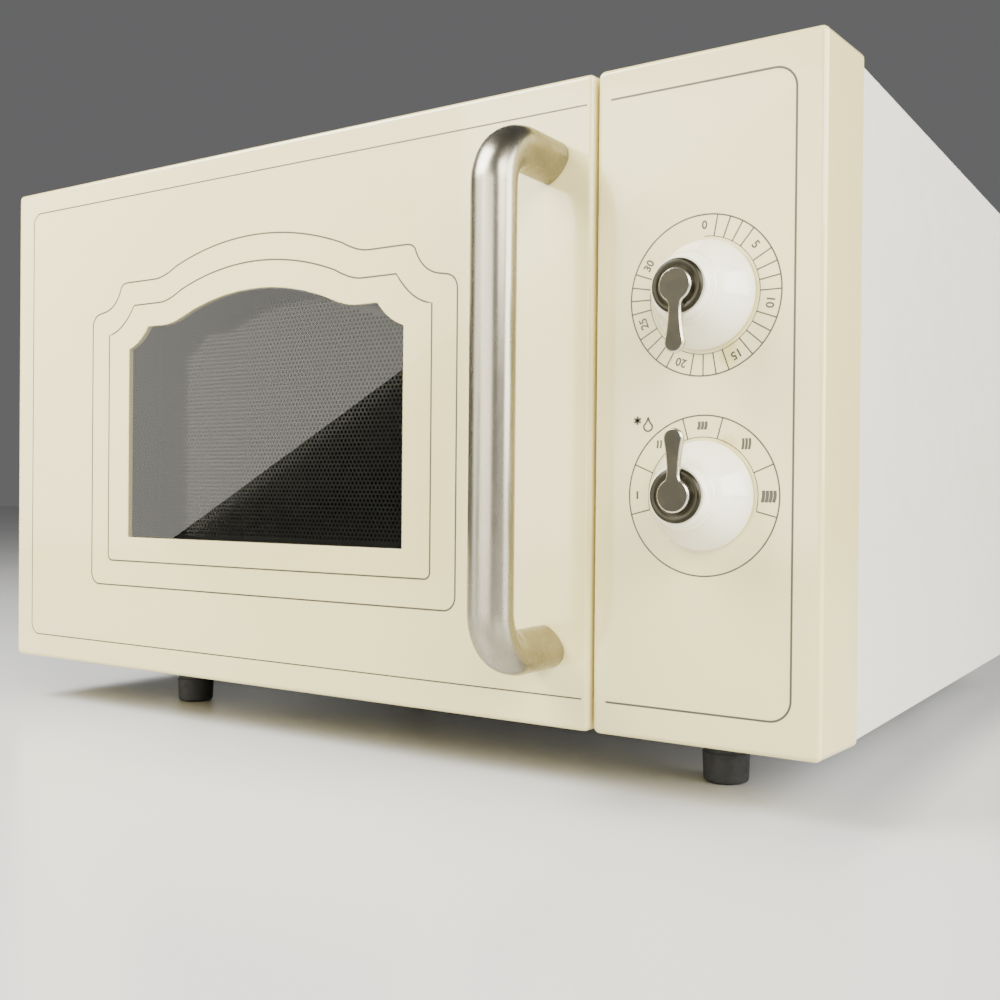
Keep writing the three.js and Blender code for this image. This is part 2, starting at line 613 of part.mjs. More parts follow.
function makeHinges() {
  const sets = [
    { name: 'top', z: BRACKET_TOP_Z, tabLow: 236, tabHigh: BRACKET_TOP_Z + HINGE_T, head: 1 },
    { name: 'bottom', z: BRACKET_BOTTOM_Z, tabLow: BRACKET_BOTTOM_Z, tabHigh: 56, head: -1 },
  ];
  for (const { name, z, tabLow, tabHigh, head } of sets) {
    const tip = rod('z', 5, z, z + HINGE_T, HINGE.x, HINGE.y, 20);
    const arm = box(HINGE.x - 5, HINGE.x + 5, HINGE.y, 58, z, z + HINGE_T);
    const tab = box(HINGE.x - 5, HINGE.x + 11, BEHIND_PLATE, BEHIND_PLATE + 2, tabLow, tabHigh);
    const bore = rod('z', PIN_R + GAP, z - 1, z + HINGE_T + 1, HINGE.x, HINGE.y, 20);
    greySteel(`hinge_bracket_${name}`, cut(join(tip, arm, tab), bore));
    const headZ = head > 0 ? z + HINGE_T + GAP : z - GAP;
    const profile = [[0, 0], [4.2, 0], [4.2, 1.6], [0, 1.6]];
    const cap = turned(profile.map(([r, h]) => [r, headZ + head * h]), 'z', HINGE.x, HINGE.y, 0, 16);
    const far = head > 0 ? EAR_TOP_Z - 2.5 : EAR_BOTTOM_Z + HINGE_T + 2.5;
    const [low, high] = [far, headZ + head].sort((p, q) => p - q);
    const shank = rod('z', PIN_R, low, high, HINGE.x, HINGE.y, 20);
    greySteel(`hinge_pin_${name}`, join(cap, shank));
  }
}

// ---- knobs and the units behind them ----

function makeDial(name, z, leverAngle) {
  const knob = [
    [0, -12], [3.3, -12], [3.3, -0.5], [19.8, -0.5], [20.1, -1.4], [19.4, -3.2], [17.7, -6.2], [15.5, -9.6],
    [13.6, -13], [12.6, -16], [12.6, -17.4], [11.9, -18.4], [11.4, -19], [11.4, -20.2], [10.9, -21.4],
    [10.1, -22.2], [0, -22.2],
  ];
  piece(`${name}_knob`, turned(knob, 'y', DIAL_X, 0, z, 32), 0xf1ecd9, 0.2, 0);

  const rim = [
    [0, -22.5], [9.4, -22.5], [9.7, -23], [9.3, -23.8], [8.6, -24.2],
    [6.1, -24.2], [6.1, -25.1], [5.6, -25.6], [0, -25.6],
  ];
  const cap = turned(rim, 'y', DIAL_X, 0, z, 32);
  const blade = extrude(leverShape(), 'xz', -25.6, -23.4, 6)
    .rotate([0, leverAngle, 0])
    .translate([DIAL_X, 0, z]);
  bronzeMetal(`${name}_lever`, join(cap, blade));

  const shaft = turned([[0, -11.5], [SHAFT_R, -11.5], [SHAFT_R, 30], [0, 30]], 'y', DIAL_X, 0, z, 16);
  greySteel(`${name}_shaft`, shaft);

  const face = MOULD_T + 0.7;
  const plate = box(DIAL_X - 27, DIAL_X + 27, face, face + 1.5, z - 23, z + 23);
  const can = box(DIAL_X - 21, DIAL_X + 21, face + 1, 36, z - 21, z + 21);
  const rear = rod('y', 15, 35, 44, DIAL_X, z, 24);
  const bore = rod('y', SHAFT_R + GAP, face - 1, 30.5, DIAL_X, z, 16);
  const terminals = [-12, 0, 12].map((dx) => box(DIAL_X + dx - 3, DIAL_X + dx + 3, 35, 46, z - 20, z - 17));
  greySteel(`${name}_unit`, cut(join(plate, can, rear, ...terminals), bore));
}

// A pointer that widens from the hub to a round tip, drawn pointing up.
function leverShape() {
  const shape = new THREE.Shape();
  shape.moveTo(-2.2, 2);
  shape.lineTo(-2.2, 8);
  shape.quadraticCurveTo(-2.5, 14, -3.6, 19.9);
  shape.absarc(0, 19.9, 3.6, Math.PI, 0, true);
  shape.quadraticCurveTo(2.5, 14, 2.2, 8);
  shape.lineTo(2.2, 2);
  return shape;
}

// ---- what makes it work ----

function makeInterlock() {
  const wall = box(128, 131, BEHIND_PLATE, 84, 84, 228);
  const shelves = HOOK_Z.map((z) => box(110, 129, 57, 84, z - 14, z - 11.5));
  const foot = box(128, 140, BEHIND_PLATE, BEHIND_PLATE + 2, 84, 228);
  blackPlastic('interlock_bracket', join(wall, foot, ...shelves));
  [['lower', HOOK_Z[0]], ['upper', HOOK_Z[1]]].forEach(([name, z]) => {
    const body = box(114, 127.5, 60, 78, z - 11, z + 15);
    const recess = box(117.6, 122.9, 59, 63.4, z - 2.4, z + 3.4);
    const pins = [-6, 3, 12].map((dz) => box(119, 121, 77, 84, z + dz, z + dz + 1));
    blackPlastic(`door_switch_${name}`, join(cut(body, recess), ...pins));
    piece(`switch_button_${name}`, box(118, 122.5, 57.7, 61.8, z - 2, z + 3), 0xb23b2e, 0.4, 0);
  });
}

function makePowerTrain() {
  const core = box(125, 205, 84, 130, ON_BASE, 103);
  const windows = [139, 177].map((x) => box(x, x + 14, 80, 135, 40, 88));
  greySteel('transformer_core', cut(core, ...windows));
  const coil = box(139.4, 190.6, 66, 148, 41, 87);
  const legHole = box(152.6, 177.4, 83.6, 130.4, 40, 88);
  piece('transformer_winding', cut(coil, legHole), 0x8a4b22, 0.5, 0.4);

  const can = extrude(roundedRect(132, 184, ON_BASE, ON_BASE + 33, 14), 'xz', 222, 312, 5);
  const tabs = [146, 166].map((x) => box(x, x + 5, 213, 223, 37, 38));
  greySteel('capacitor', join(can, ...tabs));

  const duct = box(BESIDE_CAVITY, 132, 180, 300, 140, 225);
  const tunnel = box(CAVITY.x1, 131, 181, 299, 141, 224);
  const antennaHole = rod('x', 10, 128, 134, 235, 205, 18);
  greySteel('waveguide', cut(duct, tunnel, antennaHole));
  const yoke = box(132 + GAP, 205, 195, 275, 172, 238);
  const fins = [0, 1, 2, 3].map((i) => box(143 + 13 * i, 152 + 13 * i, 194, 276, 178, 232));
  const antenna = rod('x', 7.5, 114, 136, 235, 205, 18);
  const filterBox = box(204, 222, 205, 265, 176, 234);
  const anode = rod('x', 17, 134, 204, 235, 205, 20);
  greySteel('magnetron', join(cut(yoke, ...fins), antenna, filterBox, anode));

  const cover = extrude(roundedRect(199, 281, 144, 196, 3), 'yz', CAVITY.x1 - 1.6, CAVITY.x1 - 0.4, 3);
  piece('waveguide_cover', cover, 0xc9b78d, 0.6, 0);
}

function makeCooling() {
  const shroud = box(BESIDE_CAVITY, INNER_X, 316, 318, ON_BASE, FILTER_Z - GAP);
  const hole = rod('y', FAN.r + 4, 315, 319, FAN.x, FAN.z, 36);
  const bar = box(FAN.x - 9, FAN.x + 9, 316, 318, FAN.z - 50, FAN.z + 50);
  const bore = rod('y', 4, 315, 319, FAN.x, FAN.z, 16);
  greySteel('fan_shroud', cut(join(cut(shroud, hole), bar), bore));
  const stack = box(FAN.x - 26, FAN.x + 26, 292, 310, FAN.z - 22, FAN.z + 22);
  const bell = rod('y', 13, 284, 315.5, FAN.x, FAN.z, 20);
  const shaft = rod('y', 1.6, 310, 338, FAN.x, FAN.z, 12);
  greySteel('fan_motor', join(stack, bell, shaft));
  const hub = turned([[1.9, 325], [8, 325], [8, 337], [1.9, 337], [1.9, 325]], 'y', 0, 0, 0, 18);
  const blades = [];
  for (let i = 0; i < 5; i += 1) {
    const blade = box(6.5, FAN.r - 1, -0.8, 0.8, -11, 11).rotate([55, 0, 0]);
    blades.push(blade.translate([0, 331, 0]).rotate([0, 72 * i, 0]));
  }
  const fan = join(hub, ...blades).translate([FAN.x, 0, FAN.z]);
  blackPlastic('fan_blade', fan);
}

function makeLampAndBoard() {
  const lamp = [[0, 0], [5, 0.6], [8.5, 4], [9.5, 9], [8, 15], [7, 19], [11, 19], [11, 31], [0, 31]];
  piece('oven_lamp', turned(lamp, 'x', BESIDE_CAVITY, 104, 214, 20), 0xf2efe2, 0.2, 0);
  const board = box(118, 214, 258, 326, FILTER_Z, FILTER_Z + 1.6);
  const parts = [[128, 270, 16], [156, 272, 22], [186, 270, 14], [150, 302, 12]];
  const blocks = parts.map(([x, y, h]) => box(x, x + 18, y, y + 18, FILTER_Z + 1, FILTER_Z + 1 + h));
  piece('filter_board', join(board, ...blocks), 0x2e5a3a, 0.6, 0);
}

// ---- assembly ----

makeDoorFront();
makeControlPanel();
makeWrapper();
makeBackPanel();
makeBasePan();
makeFeet();
makeFrontPlate();
makeScrews();
makeCordGland();
makeCavity();
makeTurntableDrive();
makeRollerRing();
makeTray();
makeDoorGlazing();
makeDoorFrame();
makeDoorBackCover();
makeLatch();
makeHandle();
makeHinges();
makeDial('timer', TIMER_Z, 180);
makeDial('power', POWER_Z, 0);
makeInterlock();
makePowerTrain();
makeCooling();
makeLampAndBoard();

// The middle of the whole oven counts the handle in.
const REAR_MOST = CASE_Y1 + 6;
group.position.y = (HANDLE.front - REAR_MOST) / 2;
group.position.z = -FLOOR;

export default group;
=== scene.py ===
# The looks of a countertop microwave oven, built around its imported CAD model.
# Shapes are worked out in millimetres: x to the right, depth behind the front faces, height over
# the floor. They are turned into metres in the model's own frame when a mesh is made.

import json
import math

import bmesh
import bpy
from mathutils import Matrix, Vector


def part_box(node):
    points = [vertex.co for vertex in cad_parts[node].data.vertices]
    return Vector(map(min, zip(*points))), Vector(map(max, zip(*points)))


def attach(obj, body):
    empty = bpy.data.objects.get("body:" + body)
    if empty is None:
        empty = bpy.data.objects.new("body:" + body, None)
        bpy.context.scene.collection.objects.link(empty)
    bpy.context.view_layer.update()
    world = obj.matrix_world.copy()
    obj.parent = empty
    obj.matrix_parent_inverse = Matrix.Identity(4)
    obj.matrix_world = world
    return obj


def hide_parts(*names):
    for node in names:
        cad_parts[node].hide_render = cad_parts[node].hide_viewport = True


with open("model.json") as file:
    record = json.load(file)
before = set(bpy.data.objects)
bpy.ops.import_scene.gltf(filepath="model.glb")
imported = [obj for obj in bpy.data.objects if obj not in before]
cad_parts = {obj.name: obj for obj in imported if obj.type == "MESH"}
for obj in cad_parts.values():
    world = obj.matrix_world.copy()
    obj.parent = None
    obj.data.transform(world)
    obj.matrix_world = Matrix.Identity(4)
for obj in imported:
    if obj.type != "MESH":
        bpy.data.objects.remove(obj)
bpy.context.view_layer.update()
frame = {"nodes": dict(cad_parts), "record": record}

MM = 0.001


def box_mm(node):
    """A node's lowest and highest corners, in millimetres to a hundredth."""
    return [[round(value / MM, 2) for value in corner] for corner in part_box(node)]


def middle(node):
    """The middle of a node's box, in millimetres."""
    low, high = box_mm(node)
    return [(a + b) / 2 for a, b in zip(low, high)]


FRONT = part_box("control_panel")[0].y  # the plane of the front faces, in metres
FLARE = 1                             # how far the mouldings reach down behind their front edge
FRONT_BASE = box_mm("control_panel")[0][2] + FLARE
WINDOW_X = middle("door_window")[0]
DIAL_X = middle("timer_knob")[0]
TIMER_Z = middle("timer_knob")[2]
POWER_Z = middle("power_knob")[2]
PROUD = 0.05                          # how far printed lines stand out
REPLACED = set()                      # nodes whose place a piece has taken

SLOT_OF = {part["node"]: part["material_slot"] for part in frame["record"]["subparts"]}
BODY_OF = {node: body for body, nodes in frame["record"]["behaviour"]["bodies"].items() for node in nodes}


# ---- materials ----

class Recipe:
    """A Principled material and short calls for the nodes that vary it over the surface."""

    def __init__(self, name, colour, metallic=0.0, ior=1.5, coat=0.0, coat_roughness=0.05):
        self.material = bpy.data.materials.new(name)
        self.material.use_nodes = True
        self.tree = self.material.node_tree
        self.shader = self.tree.nodes["Principled BSDF"]
        self.colour = colour
        self.shader.inputs["Base Color"].default_value = (*colour, 1)
        self.shader.inputs["Metallic"].default_value = metallic
        self.shader.inputs["IOR"].default_value = ior
        self.shader.inputs["Coat Weight"].default_value = coat
        self.shader.inputs["Coat Roughness"].default_value = coat_roughness
        self.coords = self.tree.nodes.new("ShaderNodeTexCoord").outputs["Object"]

    def link(self, source, target):
        self.tree.links.new(source, target)

    def noise(self, scale, detail=3.0, stretch=(1, 1, 1)):
        mapping = self.tree.nodes.new("ShaderNodeMapping")
        mapping.inputs["Scale"].default_value = stretch
        texture = self.tree.nodes.new("ShaderNodeTexNoise")
        texture.inputs["Scale"].default_value = scale
        texture.inputs["Detail"].default_value = detail
        self.link(self.coords, mapping.inputs["Vector"])
        self.link(mapping.outputs["Vector"], texture.inputs["Vector"])
        return texture.outputs["Fac"]

    def remap(self, value, low, high, start=0.3, end=0.7):
        node = self.tree.nodes.new("ShaderNodeMapRange")
        node.inputs["From Min"].default_value = start
        node.inputs["From Max"].default_value = end
        node.inputs["To Min"].default_value = low
        node.inputs["To Max"].default_value = high
        self.link(value, node.inputs["Value"])
        return node.outputs["Result"]

    def shade(self, value, dark, light):
        """Base colour between dark and light shares of the recipe's own colour."""
        mix = self.tree.nodes.new("ShaderNodeMix")
        mix.data_type = "RGBA"
        mix.inputs["A"].default_value = (*(min(c * dark, 1) for c in self.colour), 1)
        mix.inputs["B"].default_value = (*(min(c * light, 1) for c in self.colour), 1)
        self.link(self.remap(value, 0, 1), mix.inputs["Factor"])
        self.link(mix.outputs["Result"], self.shader.inputs["Base Color"])
        return self

    def rough(self, value, low, high):
        self.link(self.remap(value, low, high), self.shader.inputs["Roughness"])
        return self

    def relief(self, value, height, strength=1.0):
        bump = self.tree.nodes.new("ShaderNodeBump")
        bump.inputs["Strength"].default_value = strength
        bump.inputs["Distance"].default_value = height
        self.link(value, bump.inputs["Height"])
        self.link(bump.outputs["Normal"], self.shader.inputs["Normal"])
        return self


def enamel(name, colour, gloss, coat):
    """Smooth sprayed or moulded gloss with a faint unevenness."""
    recipe = Recipe(name, colour, coat=coat, coat_roughness=0.04)
    recipe.shade(recipe.noise(9, 2), 0.985, 1.01)
    recipe.rough(recipe.noise(60, 3), *gloss)
    return recipe.relief(recipe.noise(220, 2), 0.00001, 0.25).material


def paint(name, colour):
    """Powder-coated sheet with a fine orange-peel surface."""
    recipe = Recipe(name, colour)
    recipe.shade(recipe.noise(14, 3), 0.975, 1.015)
    recipe.rough(recipe.noise(120, 3), 0.34, 0.44)
    return recipe.relief(recipe.noise(900, 2), 0.00003, 0.3).material


def sheet_metal(name, colour, rough=(0.3, 0.5), scale=45):
    """Zinc-coated sheet with its cloudy spangle."""
    recipe = Recipe(name, colour, metallic=1.0)
    recipe.shade(recipe.noise(scale, 4), 0.82, 1.12)
    recipe.rough(recipe.noise(scale * 2, 3), *rough)
    return recipe.relief(recipe.noise(500, 2), 0.00001, 0.2).material


def brushed(name, colour, rough, stretch, dark=0.86, strength=0.35):
    """Satin metal with fine scratches along one direction."""
    recipe = Recipe(name, colour, metallic=1.0)
    recipe.shade(recipe.noise(30, 4, stretch), dark, 1.04)
    recipe.rough(recipe.noise(24, 3, stretch), *rough)
    return recipe.relief(recipe.noise(40, 3, stretch), 0.000004, strength).material


def aged_metal(name, colour):
    """Dark plated metal, cloudy and a little worn, under clear lacquer."""
    recipe = Recipe(name, colour, metallic=0.85, coat=0.15, coat_roughness=0.15)
    recipe.shade(recipe.noise(160, 5), 0.8, 1.2)
    recipe.rough(recipe.noise(300, 4), 0.3, 0.42)
    return recipe.relief(recipe.noise(1400, 3), 0.00001, 0.35).material


def polymer(name, colour, rough=(0.42, 0.58)):
    """Moulded plastic with a fine grain."""
    recipe = Recipe(name, colour)
    recipe.shade(recipe.noise(40, 3), 0.92, 1.08)
    recipe.rough(recipe.noise(200, 3), *rough)
    return recipe.relief(recipe.noise(1500, 2), 0.00002, 0.4).material


def rubber(name, colour):
    recipe = Recipe(name, colour)
    recipe.shade(recipe.noise(80, 4), 0.8, 1.3)
    recipe.rough(recipe.noise(300, 3), 0.6, 0.8)
    return recipe.relief(recipe.noise(2200, 3), 0.00004, 0.5).material


def winding(name, colour):
    """Lacquered copper wire, laid turn beside turn."""
    recipe = Recipe(name, colour, metallic=1.0)
    wave = recipe.tree.nodes.new("ShaderNodeTexWave")
    wave.bands_direction = "Z"
    wave.inputs["Scale"].default_value = 320
    wave.inputs["Distortion"].default_value = 0.6
    recipe.link(recipe.coords, wave.inputs["Vector"])
    recipe.shade(wave.outputs["Fac"], 0.5, 1.1)
    recipe.rough(recipe.noise(90, 3), 0.3, 0.45)
    return recipe.relief(wave.outputs["Fac"], 0.0002, 0.6).material


def laminations(name, colour):
    """A stack of thin varnished iron plates."""
    recipe = Recipe(name, colour, metallic=0.6)
    wave = recipe.tree.nodes.new("ShaderNodeTexWave")
    wave.bands_direction = "Y"
    wave.inputs["Scale"].default_value = 1000 / 3
    recipe.link(recipe.coords, wave.inputs["Vector"])
    recipe.shade(wave.outputs["Fac"], 0.7, 1.2)
    recipe.rough(recipe.noise(70, 4), 0.45, 0.65)
    return recipe.relief(wave.outputs["Fac"], 0.0001, 0.5).material


def mica(name, colour):
    recipe = Recipe(name, colour)
    recipe.shade(recipe.noise(260, 5, (1, 1, 4)), 0.75, 1.2)
    recipe.rough(recipe.noise(120, 3), 0.35, 0.6)
    return recipe.relief(recipe.noise(500, 4), 0.00004, 0.4).material


def pane(name, tint, smear, ior):
    """Thin glass: it lets lamps through, tints what is behind it and mirrors at its near face only."""
    material = bpy.data.materials.new(name)
    material.use_nodes = True
    tree = material.node_tree
    tree.nodes.remove(tree.nodes["Principled BSDF"])
    through = tree.nodes.new("ShaderNodeBsdfTransparent")
    through.inputs["Color"].default_value = (*tint, 1)
    mirror = tree.nodes.new("ShaderNodeBsdfAnisotropic")
    mirror.inputs["Color"].default_value = (1, 1, 1, 1)
    coords = tree.nodes.new("ShaderNodeTexCoord")
    noise = tree.nodes.new("ShaderNodeTexNoise")
    noise.inputs["Scale"].default_value = 25
    ramp = tree.nodes.new("ShaderNodeMapRange")
    ramp.inputs["To Min"].default_value = smear[0]
    ramp.inputs["To Max"].default_value = smear[1]
    fresnel = tree.nodes.new("ShaderNodeFresnel")
    fresnel.inputs["IOR"].default_value = ior
    geometry = tree.nodes.new("ShaderNodeNewGeometry")
    near_face = tree.nodes.new("ShaderNodeMath")
    near_face.operation = "SUBTRACT"
    near_face.use_clamp = True
    mix = tree.nodes.new("ShaderNodeMixShader")
    tree.links.new(coords.outputs["Object"], noise.inputs["Vector"])
    tree.links.new(noise.outputs["Fac"], ramp.inputs["Value"])
    tree.links.new(ramp.outputs["Result"], mirror.inputs["Roughness"])
    tree.links.new(fresnel.outputs["Fac"], near_face.inputs[0])
    tree.links.new(geometry.outputs["Backfacing"], near_face.inputs[1])
    tree.links.new(near_face.outputs["Value"], mix.inputs["Fac"])
    tree.links.new(through.outputs["BSDF"], mix.inputs[1])
    tree.links.new(mirror.outputs["BSDF"], mix.inputs[2])
    tree.links.new(mix.outputs["Shader"], tree.nodes["Material Output"].inputs["Surface"])
    return material


MATERIALS = {
    "cream_gloss": enamel("cream gloss moulding", (0.81, 0.705, 0.31), (0.12, 0.2), 0.6),
    "cream_paint": paint("cream powder coat", (0.72, 0.7, 0.6)),
    "galvanised_steel": sheet_metal("zinc-coated sheet", (0.55, 0.56, 0.57)),
    "can_aluminium": sheet_metal("drawn can", (0.66, 0.67, 0.68), (0.22, 0.32), 20),
    "unit_plastic": polymer("natural plastic", (0.62, 0.6, 0.54)),
    "black_plastic": polymer("black plastic", (0.016, 0.016, 0.017)),
    "black_rubber": rubber("black rubber", (0.012, 0.012, 0.012)),
    "screen_black": enamel("black enamelled sheet", (0.03, 0.03, 0.028), (0.1, 0.16), 0.6),
    "window_glass": pane("smoked pane", (0.7, 0.7, 0.67), (0.004, 0.02), 1.42),
    # The door's inner film lets through only 30 per cent: painted shade over the oven's inside seen through
    # the window.
    "clear_film": pane("film darkened as painted shade", (0.3, 0.3, 0.3), (0.03, 0.08), 1.4),
    "tray_glass": pane("clear pressed glass", (0.86, 0.92, 0.9), (0.01, 0.05), 1.5),
    "lamp_glass": pane("lamp glass", (0.95, 0.94, 0.9), (0.01, 0.04), 1.45),
    "satin_nickel": brushed("satin nickel", (0.31, 0.285, 0.215), (0.25, 0.29), (9, 9, 3), 0.96, 0.03),
    "antique_nickel": aged_metal("antique nickel", (0.02, 0.017, 0.008)),
    "ivory_gloss": enamel("ivory gloss", (1, 0.94, 0.72), (0.08, 0.14), 0.5),
    "screw_steel": brushed("plated steel", (0.66, 0.66, 0.67), (0.15, 0.28), (1, 1, 1)),
    "shaft_steel": brushed("turned steel", (0.55, 0.55, 0.56), (0.22, 0.34), (1, 60, 1)),
    "white_plastic": polymer("white plastic", (0.74, 0.73, 0.68)),
    "red_plastic": polymer("red plastic", (0.45, 0.03, 0.02), (0.25, 0.35)),
    "transformer_iron": laminations("varnished iron", (0.06, 0.06, 0.065)),
    "copper_winding": winding("lacquered copper", (0.50, 0.20, 0.08)),
    "magnetron_metal": sheet_metal("pressed sheet and fins", (0.60, 0.61, 0.62), (0.25, 0.4), 70),
    "motor_iron": laminations("motor plates", (0.22, 0.22, 0.24)),
    "mica_board": mica("mica sheet", (0.45, 0.37, 0.22)),
    "circuit_board": polymer("green laminate", (0.03, 0.13, 0.05), (0.3, 0.45)),
}
# A lighter nickel for the pointers' rims: a painted highlight along their edges.
PAINTED_HIGHLIGHT_NICKEL = brushed("nickel edge with painted highlight", (0.66, 0.62, 0.5), (0.24, 0.3), (1, 1, 1))
PRINT = polymer("olive brown print", (0.05, 0.04, 0.018), (0.3, 0.4))


# ---- meshes ----

def at(x, depth, z):
    """A point in metres, from millimetres."""
    return Vector((x * MM, FRONT + depth * MM, z * MM))


def mesh_from(name, verts, faces):
    mesh = bpy.data.meshes.new(name)
    mesh.from_pydata(verts, [], faces)
    bm = bmesh.new()
    bm.from_mesh(mesh)
    bmesh.ops.recalc_face_normals(bm, faces=bm.faces)
    bm.to_mesh(mesh)
    bm.free()
    return mesh


def evaluated(mesh, *modifiers):
    """The mesh after some modifiers, each given as (type, {setting: value})."""
    holder = bpy.data.objects.new("holder", mesh)
    bpy.context.scene.collection.objects.link(holder)
    for kind, settings in modifiers:
        modifier = holder.modifiers.new(kind.lower(), kind)
        for setting, value in settings.items():
            setattr(modifier, setting, value)
    ready = holder.evaluated_get(bpy.context.evaluated_depsgraph_get())
    result = bpy.data.meshes.new_from_object(ready)
    bpy.data.objects.remove(holder)
    return result


def bevel(width, segments, angle):
    """A bevel for evaluated(); the width is in millimetres and the angle in degrees."""
    settings = {"width": width * MM, "segments": segments, "limit_method": "ANGLE",
                "angle_limit": math.radians(angle)}
    return ("BEVEL", settings)


def cad_mesh(node):
    """A CAD node's shape, welded and with its flat faces merged."""
    mesh = bpy.data.meshes.new(node)
    bm = bmesh.new()
    bm.from_mesh(frame["nodes"][node].data)
    bmesh.ops.remove_doubles(bm, verts=bm.verts, dist=1e-6)
    bmesh.ops.dissolve_limit(bm, angle_limit=math.radians(0.5), verts=bm.verts, edges=bm.edges)
    bm.to_mesh(mesh)
    bm.free()
    if "custom_normal" in mesh.attributes:
        mesh.attributes.remove(mesh.attributes["custom_normal"])
    return mesh


def add_piece(name, mesh, material, body, replaces=(), sharp=35, flat_faces=False):
    """One visible piece. With flat_faces its rounded edges don't bend the shading of flat faces."""
    mesh.materials.clear()
    mesh.materials.append(material)
    mesh.shade_smooth()
    mesh.set_sharp_from_angle(angle=math.radians(sharp))
    if flat_faces:
        mesh = evaluated(mesh, ("WEIGHTED_NORMAL", {"weight": 100, "keep_sharp": True}))
    piece = bpy.data.objects.new(name, mesh)
    bpy.context.scene.collection.objects.link(piece)
    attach(piece, body)
    if replaces:
        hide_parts(*replaces)
        REPLACED.update(replaces)


def welded(mesh):
    """The mesh without the empty faces that a bevel leaves where it has no room."""
    bm = bmesh.new()
    bm.from_mesh(mesh)
    bmesh.ops.remove_doubles(bm, verts=bm.verts, dist=1e-7)
    bm.to_mesh(mesh)
    bm.free()
    return mesh


def refined(node, width, segments, angle):
    """A CAD node with rounded edges, in place of the node itself."""
    mesh = welded(evaluated(cad_mesh(node), bevel(width, segments, angle)))
    slot = SLOT_OF[node]
    add_piece(f"{node}_detail", mesh, MATERIALS[slot], BODY_OF[node], [node], flat_faces=True)


def skin(name, rings, looped=False):
    """A body over rings of points; it is capped at both ends, or its last ring joins its first."""
    count = len(rings[0])
    verts = [point for ring in rings for point in ring]
    faces = []
    for row in range(len(rings) if looped else len(rings) - 1):
        low = row * count
        high = (low + count) % len(verts)
        for i in range(count):
            j = (i + 1) % count
            faces.append((low + i, low + j, high + j, high + i))
    if not looped:
        faces.append(tuple(range(count)))
        faces.append(tuple(range(len(verts) - count, len(verts))))
    return mesh_from(name, verts, faces)


def lathe(name, profile, centre, axis="y", segments=96):
    """A profile of (radius, height) turned about an axis through centre."""
    rings = []
    for radius, height in profile:
        ring = []
        for i in range(segments):
            turn = math.tau * i / segments
            across = radius * MM * math.cos(turn)
            along = radius * MM * math.sin(turn)
            offset = (across, height * MM, along) if axis == "y" else (across, along, height * MM)
            ring.append(centre + Vector(offset))
        rings.append(ring)
    return skin(name, rings)


def rounded(profile, steps=6):
    """A smooth curve through the points of a profile."""
    result = []
    last = len(profile) - 1
    for i in range(last):
        points = [Vector(profile[k]) for k in (max(i - 1, 0), i, i + 1, min(i + 2, last))]
        for k in range(steps):
            t = k / steps
            a = 2 * points[1]
            b = points[2] - points[0]
            c = 2 * points[0] - 5 * points[1] + 4 * points[2] - points[3]
            d = -points[0] + 3 * points[1] - 3 * points[2] + points[3]
            result.append(tuple(0.5 * (a + b * t + c * t * t + d * t ** 3)))
    result.append(tuple(profile[-1]))
    return result


# ---- flat outlines ----

def arc(x, z, radius, start, end, steps=12):
    """Points of an arc, with angles in degrees from the right, anticlockwise."""
    turns = [math.radians(start + (end - start) * i / steps) for i in range(steps + 1)]
    return [(x + radius * math.cos(turn), z + radius * math.sin(turn)) for turn in turns]


def bend(start, control, end, steps=8):
    """Points of a curve that leaves start, and reaches end, in line with a control point."""
    points = []
    for i in range(steps + 1):
        t = i / steps
        a, b, c = (1 - t) ** 2, 2 * t * (1 - t), t * t
        points.append(tuple(a * p + b * q + c * r for p, q, r in zip(start, control, end)))
    return points


def mirrored(half):
    """A closed outline from its right half, which runs from the bottom middle to the top middle."""
    return half + [(2 * WINDOW_X - x, z) for x, z in reversed(half[:-1]) if x != WINDOW_X]


def arched(half_width, bottom, corner, shoulder, flat_start, flat_z, ogee, arch_end, radius, peak):
    """The right half of an arched outline; shoulder is its points from the side to the flat."""
    def point(u, z):
        return (WINDOW_X + u, FRONT_BASE + z)
    centre = peak - radius
    arch_z = centre + math.sqrt(radius ** 2 - arch_end ** 2)
    sweep = math.degrees(math.asin(arch_end / radius))
    points = [point(0, bottom)]
    points += arc(*point(half_width - corner, bottom + corner), corner, -90, 0)
    for start, control, end in shoulder:
        points += bend(point(*start), point(*control), point(*end))
    points += bend(point(flat_start, flat_z), point(ogee, flat_z), point(arch_end, arch_z))
    points += arc(*point(0, centre), radius, 90 - sweep, 90, 24)
    return points


def strip(bm, points, width=0.6, closed=False):
    """A printed line that stands a hair proud of the front faces."""
    count = len(points)
    rows = []
    for i, (x, z) in enumerate(points):
        before = points[i - 1] if closed or i > 0 else points[i]
        after = points[(i + 1) % count] if closed or i < count - 1 else points[i]
        along = Vector((after[0] - before[0], after[1] - before[1])).normalized()
        side = Vector((-along.y, along.x)) * width / 2
        corners = [(side, -PROUD), (-side, -PROUD), (-side, PROUD), (side, PROUD)]
        rows.append([bm.verts.new(at(x + s.x, depth, z + s.y)) for s, depth in corners])
    for i in range(count if closed else count - 1):
        near, far = rows[i], rows[(i + 1) % count]
        for k in range(4):
            m = (k + 1) % 4
            bm.faces.new((near[k], near[m], far[m], far[k]))
    if not closed:
        bm.faces.new(rows[0])
        bm.faces.new(reversed(rows[-1]))


def printed(name, body, draw):
    """One piece of print made by draw(bm), in the olive brown print finish, which moves with the body it is
    printed on.
    """
    bm = bmesh.new()
    draw(bm)
    bmesh.ops.remove_doubles(bm, verts=bm.verts, dist=1e-7)
    bmesh.ops.recalc_face_normals(bm, faces=bm.faces)
    mesh = bpy.data.meshes.new(name)
    bm.to_mesh(mesh)
    bm.free()
    add_piece(name, mesh, PRINT, body)


# ---- printed lines and scales ----

